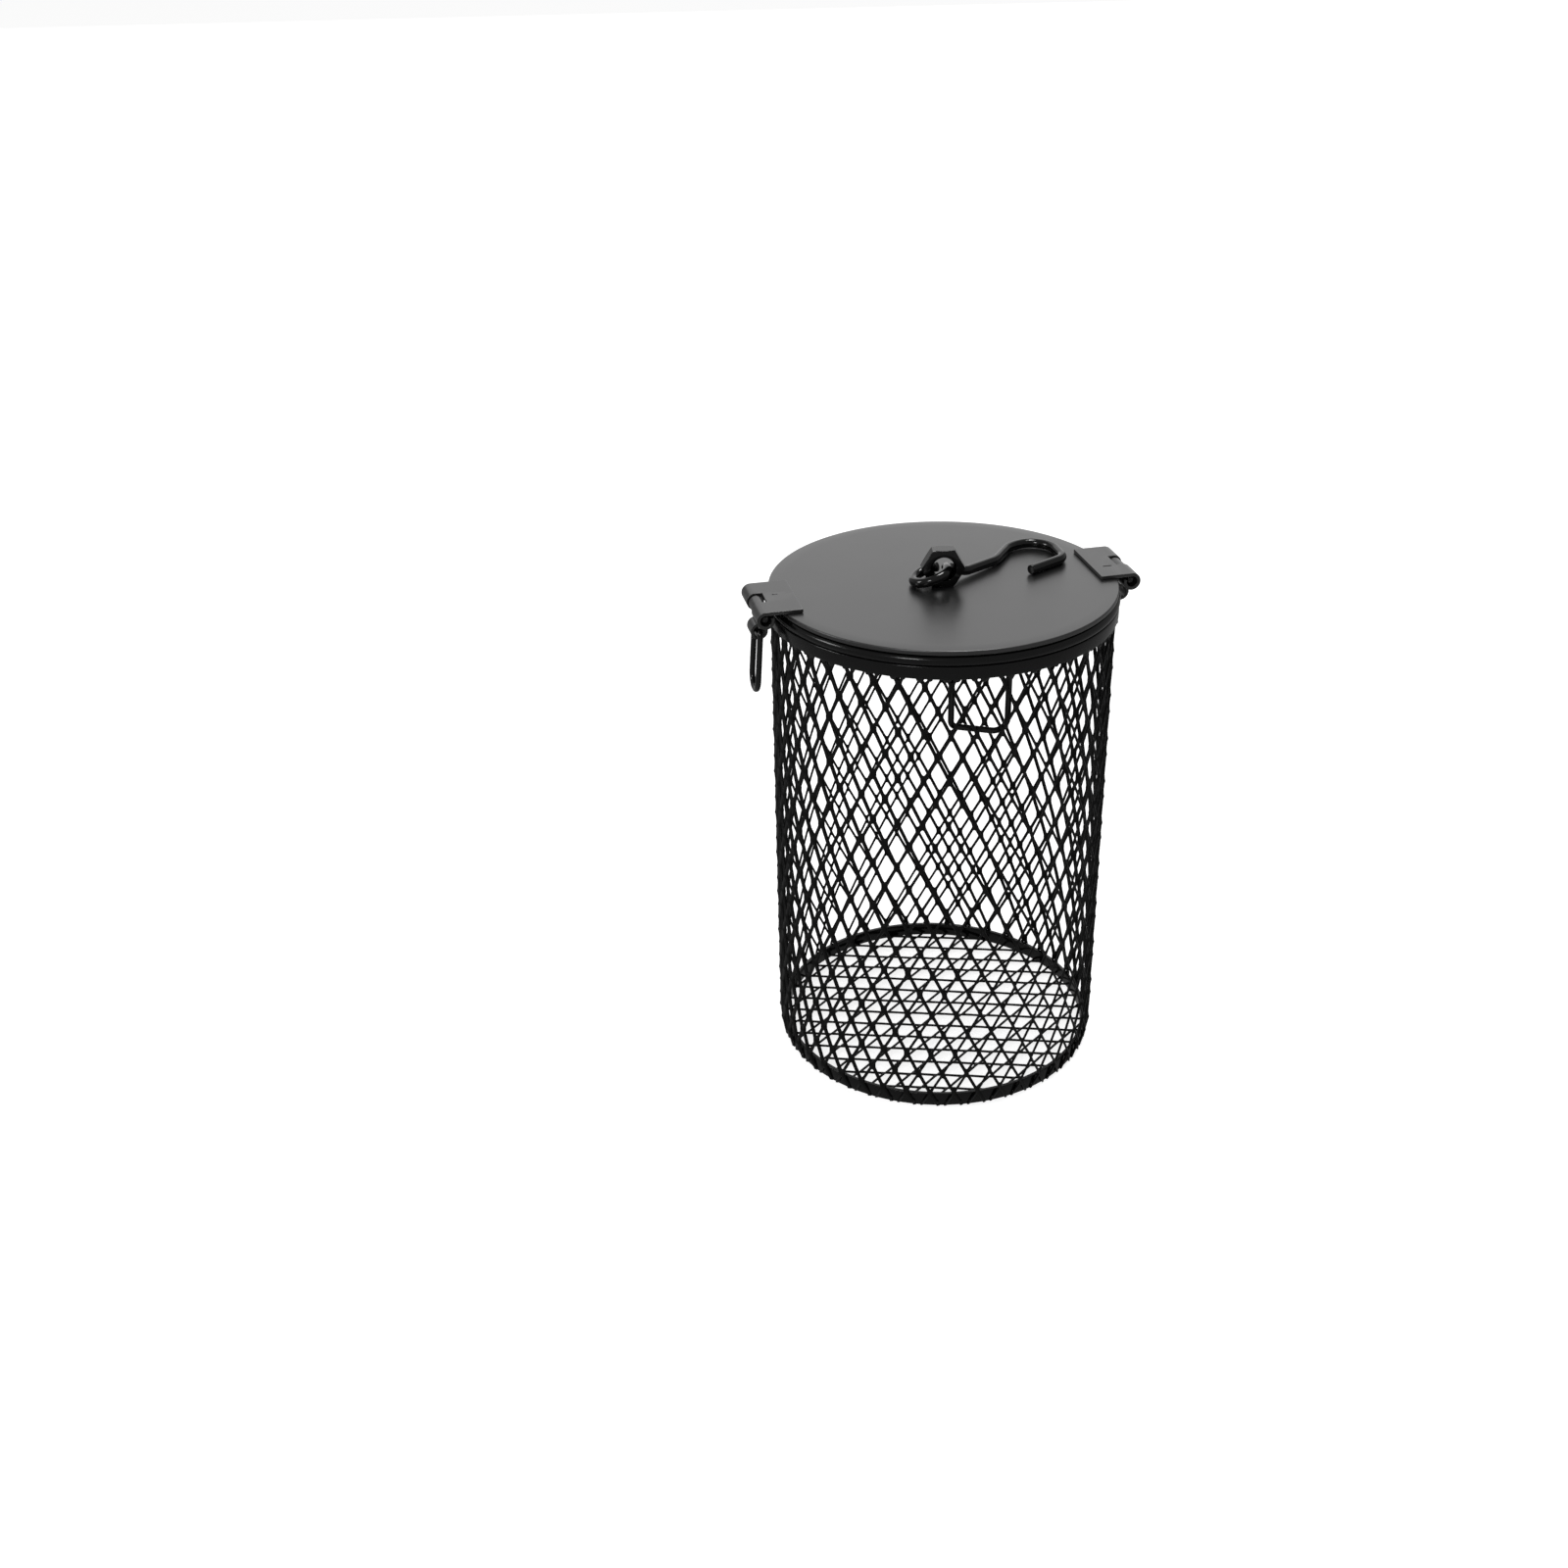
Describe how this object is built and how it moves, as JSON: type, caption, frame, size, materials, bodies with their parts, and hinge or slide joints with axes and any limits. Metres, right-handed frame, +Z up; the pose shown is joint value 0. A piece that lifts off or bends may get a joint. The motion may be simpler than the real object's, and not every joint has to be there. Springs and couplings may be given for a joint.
{
  "type": "live catch trap",
  "caption": "Small round mesh cage with a flat hinged lid, snap clasp with pull loop, and a wire hook linked through a nut on the lid.",
  "frame": {"origin": "on the cage's round axis, on the surface that it stands on", "axes": "+Z up through the lid, +X to the lid's hinge, -X to the clasp"},
  "size_m": [0.0792, 0.0706, 0.1126],
  "materials": {
    "mesh_paint": "satin black paint on expanded steel mesh",
    "body_paint": "satin black paint",
    "lid_paint": "smooth satin black paint with a soft reflection",
    "fitting_paint": "satin black paint on folded sheet",
    "wire_paint": "gloss black coating on steel wire"
  },
  "bodies": {
    "cage": {"mesh_wall": "mesh_paint", "bottom_mesh": "mesh_paint", "bottom_ring": "body_paint", "collar_band": "body_paint", "rim_bead": "body_paint", "bait_loop": "wire_paint", "cage_hinge_leaf": "fitting_paint", "hinge_pin": "wire_paint"},
    "lid": {"lid_disc": "lid_paint", "lid_hinge_leaf": "fitting_paint", "lid_clasp_leaf": "fitting_paint", "clasp_pin": "wire_paint", "hook_nut": "wire_paint"},
    "clasp": {"clasp_clip": "fitting_paint"},
    "pull_loop": {"pull_loop": "wire_paint"},
    "hook": {"hanging_hook": "wire_paint"}
  },
  "joints": [
    {"name": "lid_hinge", "type": "hinge", "parent": "cage", "child": "lid", "pos_m": [0.0372, 0, 0.10394], "axis": [0, 1, 0], "range_deg": [0, 180]},
    {"name": "clasp_pivot", "type": "hinge", "parent": "lid", "child": "clasp", "pos_m": [-0.038, -0.001, 0.10394], "axis": [0, 1, 0], "range_deg": [0, 150]},
    {"name": "pull_loop_swing", "type": "hinge", "parent": "clasp", "child": "pull_loop", "pos_m": [-0.03823, -0.001, 0.09937], "axis": [0, 1, 0], "range_deg": [-6, 110]},
    {"name": "hook_lift", "type": "hinge", "parent": "lid", "child": "hook", "pos_m": [-0.00624, -0.0009, 0.10605], "axis": [-0.1908, -0.9816, 0], "range_deg": [0, 13]}
  ]
}
